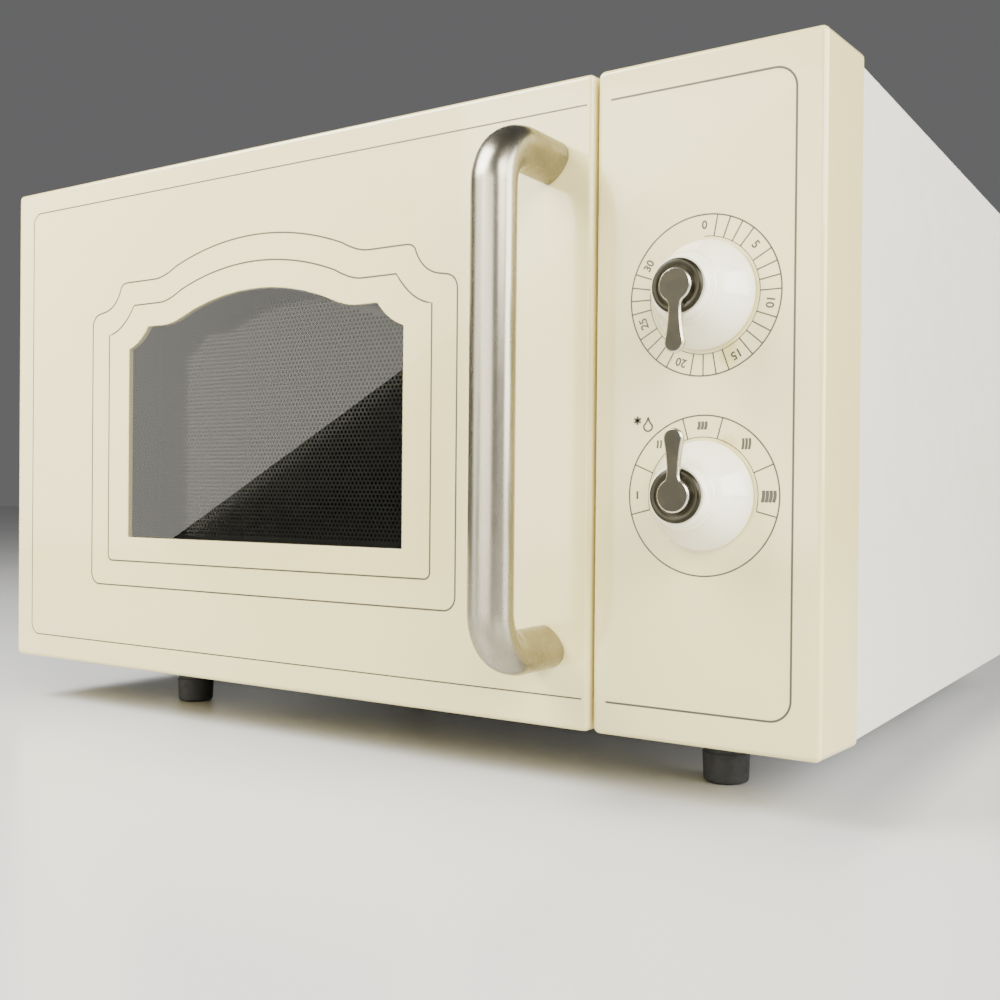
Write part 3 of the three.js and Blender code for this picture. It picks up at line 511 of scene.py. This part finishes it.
INNER_LINE = dict(
    half_width=104.2, bottom=55.5, corner=3, flat_start=66, flat_z=186.2, ogee=59.5,
    shoulder=[((104.2, 172.2), (93.5, 173.5), (85, 186.2))], arch_end=50, radius=143, peak=200.3)
OUTER_LINE = dict(
    half_width=117.4, bottom=42.75, corner=6, flat_start=70, flat_z=198.2, ogee=63,
    shoulder=[((117.4, 177), (117.2, 183.2), (110.5, 183.9)), ((107.5, 184.4), (99.5, 186), (95.8, 194.2)),
              ((95.2, 195.8), (94, 198), (90.5, 198.2))],
    arch_end=54, radius=156, peak=212.7)

BORDER_TOP = FRONT_BASE + 242.5
BORDER_BOTTOM = FRONT_BASE + 12.75


def draw_door_lines(bm):
    left, radius, end = -213.25, 6, 133
    border = [(end, BORDER_TOP)]
    border += arc(left + radius, BORDER_TOP - radius, radius, 90, 180)
    border += arc(left + radius, BORDER_BOTTOM + radius, radius, 180, 270)
    strip(bm, border + [(end, BORDER_BOTTOM)])
    for line in (INNER_LINE, OUTER_LINE):
        strip(bm, mirrored(arched(**line)), 0.75, closed=True)


def draw_panel_border(bm):
    right, radius, start = 216.25, 8, 143.5
    border = [(start, BORDER_TOP)]
    border += arc(right - radius, BORDER_TOP - radius, radius, 90, 0)
    border += arc(right - radius, BORDER_BOTTOM + radius, radius, 0, -90)
    strip(bm, border + [(start, BORDER_BOTTOM)], 0.8)


RING_R = 29.3
INNER_RING_R = 21.4
NUMBER_R = 25.4


def around(radius, degrees):
    """A point about the middle of a dial, at an angle clockwise from its top."""
    turn = math.radians(degrees)
    return (radius * math.sin(turn), radius * math.cos(turn))


def polar(z, radius, degrees):
    """The same point on the dial whose middle is at height z."""
    x, up = around(radius, degrees)
    return (DIAL_X + x, z + up)


def draw_ring(bm, z):
    strip(bm, arc(DIAL_X, z, RING_R, 0, 360, 120)[:-1], 0.58, closed=True)


def draw_ticks(bm, z, angles):
    for degrees in angles:
        strip(bm, [polar(z, INNER_RING_R, degrees), polar(z, RING_R - 0.1, degrees)], 0.52)


def draw_number(bm, text, z, degrees):
    """A number that stands upright on the dial's radius."""
    curve = bpy.data.curves.new("number", "FONT")
    curve.body = text
    curve.size = 4.3 * MM
    curve.align_x = "CENTER"
    curve.align_y = "CENTER"
    curve.extrude = PROUD * MM
    curve.offset = 0.12 * MM
    curve.resolution_u = 4
    holder = bpy.data.objects.new("number", curve)
    bpy.context.scene.collection.objects.link(holder)
    ready = holder.evaluated_get(bpy.context.evaluated_depsgraph_get())
    mesh = bpy.data.meshes.new_from_object(ready)
    bpy.data.objects.remove(holder)
    x, height = polar(z, NUMBER_R, degrees)
    stand = Matrix.Rotation(math.radians(90), 4, "X")
    turn = Matrix.Rotation(math.radians(degrees), 4, "Y")
    mesh.transform(Matrix.Translation(at(x, 0, height)) @ turn @ stand)
    bm.from_mesh(mesh)
    bpy.data.meshes.remove(mesh)


def draw_timer_scale(bm):
    draw_ring(bm, TIMER_Z)
    draw_ticks(bm, TIMER_Z, [angle for angle in range(10, 300, 10) if angle % 50])
    inner = [polar(TIMER_Z, INNER_RING_R, degrees) for degrees in range(0, 301, 4)]
    strip(bm, inner, 0.3)
    for step in range(7):
        draw_number(bm, str(5 * step), TIMER_Z, 50 * step)


def draw_bars(bm, degrees, count, pitch, height, lean, radius, width):
    """A power setting's sign: a row of short leaning bars."""
    x, z = polar(POWER_Z, radius, degrees)
    for i in range(count):
        centre = x + pitch * (i - (count - 1) / 2)
        points = bend((centre - lean, z - height / 2), (centre + lean, z), (centre, z + height / 2), 4)
        strip(bm, points, width)


def draw_star(bm, x, z, radius):
    for degrees in (0, 60, 120):
        across, up = around(radius, degrees)
        strip(bm, [(x - across, z - up), (x + across, z + up)], 0.9)


def draw_drop(bm, x, z):
    outline = bend((x, z + 2.6), (x + 0.3, z + 0.9), (x + 1.75, z - 0.6), 6)
    outline += arc(x, z - 0.9, 1.75, 0, -180, 12)
    outline += bend((x - 1.75, z - 0.6), (x - 0.3, z + 0.9), (x, z + 2.6), 6)
    strip(bm, outline, 0.7)


# For each sign: its angle, number of bars, their pitch, height and lean, its radius, line width.
POWER_SIGNS = (
    (-90, 1, 1, 3, 0, 26, 0.85),
    (-42, 2, 1.3, 3, 0.2, 25.6, 0.75),
    (0, 3, 1.35, 2.9, 0.4, 25.6, 1.1),
    (42, 3, 1.25, 4, 0.3, 25.2, 0.95),
    (90, 4, 1.4, 4.2, 0.45, 25.4, 1.2),
)


def draw_power_scale(bm):
    draw_ring(bm, POWER_Z)
    draw_ticks(bm, POWER_Z, (-104.5, -67, -15.5, 15.5, 67, 104.5))
    strip(bm, [polar(POWER_Z, INNER_RING_R, degrees) for degrees in range(-104, 105, 4)], 0.3)
    for sign in POWER_SIGNS:
        draw_bars(bm, *sign)
    draw_star(bm, DIAL_X - 26.25, POWER_Z + 28, 1.6)
    draw_drop(bm, DIAL_X - 21.85, POWER_Z + 26.6)


printed("door_lines", "door", draw_door_lines)
printed("panel_border", "oven_body", draw_panel_border)
printed("timer_scale", "oven_body", draw_timer_scale)
printed("power_scale", "oven_body", draw_power_scale)


# ---- knobs and pointer levers ----

def knob(name, z):
    """The glossy bell with a bead at its neck."""
    profile = [(0, -0.6), (19.7, -0.6)]
    profile += rounded([(19.9, -0.7), (20.1, -1.4), (19.4, -3.2), (17.8, -6.1), (15.6, -9.6), (13.8, -13),
                        (12.8, -15.6), (12.5, -17.2), (11.9, -18.2), (11.4, -18.5)])
    profile += rounded([(11.3, -18.7), (11.5, -19.4), (11.4, -20.4), (10.8, -21.6), (10.1, -22.2)], 4)
    profile += [(0, -22.2)]
    profile = [(max(radius, 0.01), height) for radius, height in profile]
    mesh = lathe(name, profile, at(DIAL_X, 0, z))
    add_piece(f"{name}_bell", mesh, MATERIALS["ivory_gloss"], BODY_OF[f"{name}_knob"],
              [f"{name}_knob"])


def lever_outline():
    """Hub and pointer in one outline, pointing up, about the dial's middle."""
    hub, neck, tip, tip_at = 6.1, 2.3, 3.6, 19.9
    start = math.degrees(math.asin((neck + 1.0) / hub))
    right = bend(around(hub, start), (neck + 0.15, 5.7), (neck, 7.6), 6)
    right += bend((neck + 0.02, 9), (neck + 0.3, 14.5), (tip - 0.02, tip_at - 0.6), 8)
    right += arc(0, tip_at, tip, 0, 90, 12)
    hub_turns = [180 + (start - 180) * i / 28 for i in range(28)]
    half = [around(hub, degrees) for degrees in hub_turns] + right
    return half + [(-x, z) for x, z in reversed(half[1:-1])]


def inset(outline, distance):
    """A closed outline moved inwards; the outline runs clockwise."""
    result = []
    for i, (x, z) in enumerate(outline):
        before, after = outline[i - 1], outline[(i + 1) % len(outline)]
        along = Vector((after[0] - before[0], after[1] - before[1])).normalized()
        result.append((x - along.y * distance, z + along.x * distance))
    return result


def on_dial(outline, depth, z, turn):
    """An outline about a dial's middle, turned clockwise and set at a depth."""
    cos, sin = math.cos(turn), math.sin(turn)
    return [at(DIAL_X + x * cos + up * sin, depth, z + up * cos - x * sin) for x, up in outline]


def lever(name, z, degrees):
    """The dark cap ring with its hub and teardrop pointer, whose rim is a lighter nickel that paints a
    highlight along its edges.
    """
    node = f"{name}_lever"
    turn = math.radians(degrees)
    profile = [(0.01, -22.5), (9.4, -22.5)]
    profile += rounded([(9.6, -22.7), (9.7, -23.1), (9.4, -23.7), (8.9, -24.1), (8.4, -24.2),
                        (7.6, -24.05), (7, -23.8)], 4)
    profile += [(0.01, -23.8)]
    cap = lathe("cap", profile, at(DIAL_X, 0, z))
    outline = lever_outline()
    face = inset(outline, 0.55)
    blade = skin("blade", [on_dial(face, depth, z, turn) for depth in (-23.7, -25.58)])
    bm = bmesh.new()
    bm.from_mesh(cap)
    bm.from_mesh(blade)
    mesh = bpy.data.meshes.new(node)
    bm.to_mesh(mesh)
    bm.free()
    add_piece(f"{name}_pointer", mesh, MATERIALS["antique_nickel"], BODY_OF[node],
              [node], 30)
    # The rim round the blade is a lighter nickel: a painted highlight along the pointer's edges.
    rim = [(face, -23.6), (outline, -23.6), (outline, -25.1), (inset(outline, 0.15), -25.35), (face, -25.6)]
    edge = skin("edge", [on_dial(line, depth, z, turn) for line, depth in rim], looped=True)
    add_piece(f"{name}_pointer_edge", edge, PAINTED_HIGHLIGHT_NICKEL, BODY_OF[node], sharp=50)


for dial, height, pointing in (("timer", TIMER_Z, 180), ("power", POWER_Z, 0)):
    knob(dial, height)
    lever(dial, height, pointing)


# ---- handle ----

HANDLE_LOW, HANDLE_HIGH = box_mm("handle")
HANDLE_X = middle("handle")[0]
HANDLE_REACH = box_mm("door_front")[0][1] - HANDLE_LOW[1]  # from the door's face to the bar's crown
HANDLE_TOP = HANDLE_HIGH[2]
HANDLE_BOTTOM = HANDLE_LOW[2]
HANDLE_BEND = 26


def handle_section():
    """A crowned front and a tapering back, which meet at a crease along each side."""
    half = HANDLE_HIGH[0] - HANDLE_X
    crown, side, back = 7, 0.8, 9.6
    steps = 28
    section = []
    for i in range(steps + 1):
        turn = math.pi * (steps - i) / steps
        section.append((half * math.cos(turn), crown * (1 - math.sin(turn))))
    for i in range(steps + 1):
        turn = math.pi * i / steps
        taper = math.copysign(abs(math.cos(turn)) ** (4 / 3), math.cos(turn))
        section.append((half * taper, crown + side + back * abs(math.sin(turn)) ** (4 / 3)))
    return section


def handle_path():
    """The crown's line from the bottom post to the top one, as (depth, height, angle it faces)."""
    steps = 24
    path = [(-0.3, HANDLE_BOTTOM, 90)]
    for corner, start in ((HANDLE_BOTTOM + HANDLE_BEND, 90), (HANDLE_TOP - HANDLE_BEND, 0)):
        for i in range(steps + 1):
            degrees = start - 90 * i / steps
            turn = math.radians(degrees)
            depth = HANDLE_BEND - HANDLE_REACH - HANDLE_BEND * math.cos(turn)
            path.append((depth, corner - HANDLE_BEND * math.sin(turn), degrees))
    return path + [(-0.3, HANDLE_TOP, -90)]


def handle():
    section = handle_section()
    rings = []
    for depth, height, degrees in handle_path():
        turn = math.radians(degrees)
        rings.append([at(HANDLE_X + across, depth + deep * math.cos(turn), height + deep * math.sin(turn))
                      for across, deep in section])
    add_piece("handle_bar", skin("handle", rings), MATERIALS["satin_nickel"], "door",
              ["handle"], 24)


handle()


# ---- perforated screen ----

def screen():
    """Black enamelled sheet with a field of small round holes behind the arched opening."""
    low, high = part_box("door_screen")
    pitch = 2.3
    hole_r = 0.78
    rise = pitch * math.sqrt(3) / 2
    zone = arched(half_width=87, bottom=70, corner=1, flat_start=66, flat_z=172.5, ogee=59,
                  shoulder=[((87, 161.5), (78.5, 163), (72.5, 172.5))], arch_end=50, radius=129, peak=185.3)
    outline = mirrored(zone)
    depth = (low.y - FRONT) / MM + 0.1
    verts = []
    faces = []
    shared = {}

    def vertex(x, z):
        key = (round(x * 1000), round(z * 1000))
        if key not in shared:
            shared[key] = len(verts)
            verts.append(at(x, depth, z))
        return shared[key]

    cell_r = pitch / math.sqrt(3)
    share = hole_r / cell_r
    corners = [(cell_r * math.sin(math.tau * k / 6), cell_r * math.cos(math.tau * k / 6)) for k in range(6)]
    z = low.z / MM + cell_r
    row = 0
    while z < high.z / MM - cell_r:
        x = low.x / MM + pitch * (0.5 + 0.5 * (row % 2))
        while x < high.x / MM - pitch / 2:
            outer = [vertex(x + dx, z + dz) for dx, dz in corners]
            if inside(outline, x, z):
                ring = []
                for dx, dz in corners:
                    ring.append(len(verts))
                    verts.append(at(x + dx * share, depth, z + dz * share))
                for k in range(6):
                    m = (k + 1) % 6
                    faces.append((outer[k], outer[m], ring[m], ring[k]))
            else:
                faces.append(tuple(outer))
            x += pitch
        z += rise
        row += 1
    flat = bpy.data.meshes.new("screen")
    flat.from_pydata(verts, [], faces)
    thick = ("SOLIDIFY", {"thickness": 0.6 * MM, "offset": 0.0})
    mesh = evaluated(flat, thick)
    add_piece("door_screen_mesh", mesh, MATERIALS["screen_black"], "door", ["door_screen"])


def inside(outline, x, z):
    """True if a point lies inside a closed outline."""
    result = False
    for (x0, z0), (x1, z1) in zip(outline, outline[1:] + outline[:1]):
        if (z0 > z) != (z1 > z) and x < x0 + (z - z0) * (x1 - x0) / (z1 - z0):
            result = not result
    return result


screen()


# ---- turned pieces ----

def foot(node):
    """A rubber foot with a rounded sole edge and a grip groove."""
    x, y, _ = middle(node)
    centre = Vector((x, y, 0)) * MM
    profile = [(0.01, 0.6), (5, 0.6), (5.6, 0)]
    profile += rounded([(7.6, 0), (8.6, 0.4), (9.1, 1.4), (9.35, 6), (9.6, 12)], 4)
    profile += [(9.1, 12.5), (9.1, 13.5), (9.65, 14), (10, 23.7), (9.8, 24.2), (3, 24.2), (3, 25.4),
                (4.2, 25.4), (3.6, 27), (2, 29.5), (0.01, 29.5)]
    mesh = lathe(node, profile, centre, "z", 48)
    add_piece(f"{node}_rubber", mesh, MATERIALS["black_rubber"], "oven_body", [node])


def tray():
    """The pressed glass plate with a raised rim, a foot ring and a ribbed floor."""
    low, high = box_mm("glass_turntable")
    x, y, _ = middle("glass_turntable")
    centre = Vector((x, y, 0)) * MM
    radius = (high[0] - low[0]) / 2
    lug = 5                           # how far the three lugs reach below the plate
    base = low[2] + lug
    profile = [(0.01, base)]
    profile += rounded([(112, base), (121, base + 1.5), (125.2, base + 5.5), (radius, base + 9.6),
                        (radius, base + 10.9), (radius - 0.9, base + 11.5), (radius - 1.8, base + 10.9),
                        (123.4, base + 8.6), (119.3, base + 6), (111, base + 4.6)], 5)
    for ring in (100, 80, 60, 40):
        profile += [(ring + 1.2, base + 4.6), (ring + 0.4, base + 4.25), (ring - 0.4, base + 4.25),
                    (ring - 1.2, base + 4.6)]
    profile += [(0.01, base + 4.6)]
    plate = lathe("plate", profile, centre, "z", 128)
    bm = bmesh.new()
    bm.from_mesh(plate)
    for degrees in (60, 180, 300):
        turn = Matrix.Rotation(math.radians(degrees), 4, "Z")
        made = bmesh.ops.create_cube(bm, size=1)["verts"]
        scale = Matrix.Diagonal((13 * MM, 10 * MM, (lug + 0.2) * MM, 1))
        outwards = Matrix.Translation((19.5 * MM, 0, (base - lug / 2) * MM))
        bmesh.ops.transform(bm, matrix=Matrix.Translation(centre) @ turn @ outwards @ scale, verts=made)
    mesh = bpy.data.meshes.new("tray")
    bm.to_mesh(mesh)
    bm.free()
    add_piece("glass_turntable_plate", evaluated(mesh, bevel(0.4, 2, 60)), MATERIALS["tray_glass"], "tray",
              ["glass_turntable"])


def rear_screw(node):
    """A pan-head screw with a cross recess."""
    x, _, z = middle(node)
    centre = Vector((x, 0, z)) * MM
    point = box_mm(node)[0][1]
    seat = point + 9.3
    profile = [(0.01, point), (1.6, point), (1.9, point + 0.5), (1.9, seat), (4, seat)]
    profile += rounded([(4, seat + 0.2), (3.75, seat + 1.2), (2.9, seat + 2.0), (1.5, seat + 2.4)], 4)
    profile += [(0.01, seat + 2.45)]
    head = lathe("head", profile, centre, "y", 40)
    cutter = bmesh.new()
    for size in ((4.2, 2.4, 0.8), (0.8, 2.4, 4.2)):
        made = bmesh.ops.create_cube(cutter, size=1)["verts"]
        scale = Matrix.Diagonal((*(value * MM for value in size), 1))
        place = Matrix.Translation(centre + Vector((0, (seat + 2.2) * MM, 0)))
        bmesh.ops.transform(cutter, matrix=place @ scale, verts=made)
    recess = bpy.data.meshes.new("recess")
    cutter.to_mesh(recess)
    cutter.free()
    tool = bpy.data.objects.new("recess", recess)
    bpy.context.scene.collection.objects.link(tool)
    mesh = evaluated(head, ("BOOLEAN", {"object": tool, "operation": "DIFFERENCE", "use_self": True}))
    bpy.data.objects.remove(tool)
    add_piece(f"{node}_head", mesh, MATERIALS["screw_steel"], "oven_body", [node])


for name in ("foot_front_left", "foot_front_right", "foot_rear_left", "foot_rear_right"):
    foot(name)
tray()
for name in ("back_screw_left", "back_screw_right"):
    rear_screw(name)


# ---- everything else keeps its CAD shape ----

# The width of an edge's rounding, its segments, and the angle from which an edge gets one.
USUAL_EDGE = (0.2, 2, 60)
EDGES = {
    "door_front": (0.5, 3, 60),
    "control_panel": (0.4, 3, 60),
    "cabinet_wrapper": (0.15, 2, 60),
    "cavity": (0.15, 2, 60),
    "door_back_cover": (0.4, 3, 60),
    "door_frame": (0.15, 2, 60),
    "roller_ring": (0.3, 2, 60),
    "turntable_coupler": (0.5, 3, 60),
    "latch_lever": (0.5, 3, 40),
    "cord_gland": (0.3, 2, 60),
}
LEFT_SHARP = {"latch_spring", "oven_lamp", "fan_blade", "door_inner_film", "base_pan"}
for node, thing in frame["nodes"].items():
    if node in REPLACED:
        continue
    if node in LEFT_SHARP:
        thing.data.materials.clear()
        thing.data.materials.append(MATERIALS[SLOT_OF[node]])
        continue
    refined(node, *EDGES.get(node, USUAL_EDGE))


# ---- camera, lights and floor ----

WARM = (1, 0.98, 0.94)


def oriented(location, azimuth, pitch, roll):
    """A matrix that looks along -Z, with the azimuth in degrees anticlockwise from +Y, seen from above."""
    az, rise, lean = (math.radians(value) for value in (azimuth, pitch, roll))
    forward = Vector((-math.sin(az) * math.cos(rise), math.cos(az) * math.cos(rise), math.sin(rise)))
    right = Vector((math.cos(az), math.sin(az), 0))
    up = right.cross(forward)
    tilted = right * math.cos(lean) + up * math.sin(lean)
    upright = up * math.cos(lean) - right * math.sin(lean)
    rotation = Matrix((tilted, upright, -forward)).transposed().to_4x4()
    return Matrix.Translation(location) @ rotation


def add_camera():
    data = bpy.data.cameras.new("camera")
    data.sensor_width = 36
    data.lens = 41.84
    data.clip_start = 0.01
    camera = bpy.data.objects.new("camera", data)
    camera.matrix_world = oriented(at(352.92, -393.81, 116.53), azimuth=33.279, pitch=-0.434, roll=0.515)
    bpy.context.scene.collection.objects.link(camera)
    bpy.context.scene.camera = camera


def softbox(name, place, size, power, colour=(1, 1, 1), only_reflected=False):
    """A softbox; one that is only reflected shows in glossy surfaces without lighting the rest."""
    data = bpy.data.lights.new(name, "AREA")
    data.shape = "RECTANGLE"
    data.size, data.size_y = size
    data.energy = power
    data.color = colour
    light = bpy.data.objects.new(name, data)
    light.matrix_world = place
    light.visible_diffuse = not only_reflected
    bpy.context.scene.collection.objects.link(light)


def aimed(location, target):
    look = (Vector(target) - Vector(location)).to_track_quat("-Z", "Y").to_matrix().to_4x4()
    return Matrix.Translation(location) @ look


def add_window_light():
    """The softbox whose straight lower edge shows as the slanting reflection in the window."""
    width, height = 2.4, 1.2
    edge_a = at(-1352.9, -1100, 28.5)
    edge_b = at(-825.9, -1100, 309.9)
    along = (edge_b - edge_a).normalized()
    up = Vector((-along.z, 0, along.x))
    centre = edge_a + (edge_b - edge_a) * 0.5 + up * height / 2
    turned = Matrix((along, up, along.cross(up))).transposed().to_4x4()
    place = Matrix.Translation(centre) @ turned
    softbox("window softbox", place, (width, height), 40, (1, 0.97, 0.88), True)


def add_floor():
    half, under = 6, -0.0002
    verts = [(-half, -half, under), (half, -half, under), (half, half, under), (-half, half, under)]
    mesh = mesh_from("floor", verts, [(0, 1, 2, 3)])
    recipe = Recipe("pale floor", (0.64, 0.635, 0.62))
    recipe.shade(recipe.noise(3, 3), 0.98, 1.01)
    recipe.rough(recipe.noise(3, 1), 0.24, 0.26)
    mesh.materials.append(recipe.material)
    floor = bpy.data.objects.new("floor", mesh)
    bpy.context.scene.collection.objects.link(floor)


def add_world():
    world = bpy.data.worlds.new("studio")
    world.use_nodes = True
    background = world.node_tree.nodes["Background"]
    background.inputs["Color"].default_value = (0.42, 0.42, 0.43, 1)
    background.inputs["Strength"].default_value = 0.32
    bpy.context.scene.world = world


add_camera()
add_window_light()
softbox("key softbox", aimed((1.5, -1.4, 1.2), (0.1, -0.1, 0.15)), (1.2, 1.2), 68, WARM)
softbox("side softbox", aimed((2.0, -0.1, 0.8), (0.2, -0.1, 0.1)), (1.4, 1.4), 84)
softbox("top softbox", aimed((-0.5, -0.6, 0.85), (-0.15, -0.15, 0.22)), (0.7, 0.6), 30)
softbox("front softbox", aimed((-0.3, -1.75, 0.2), (0.116, -0.2, 0.15)), (1.3, 1.3), 36, WARM, True)
add_floor()
add_world()
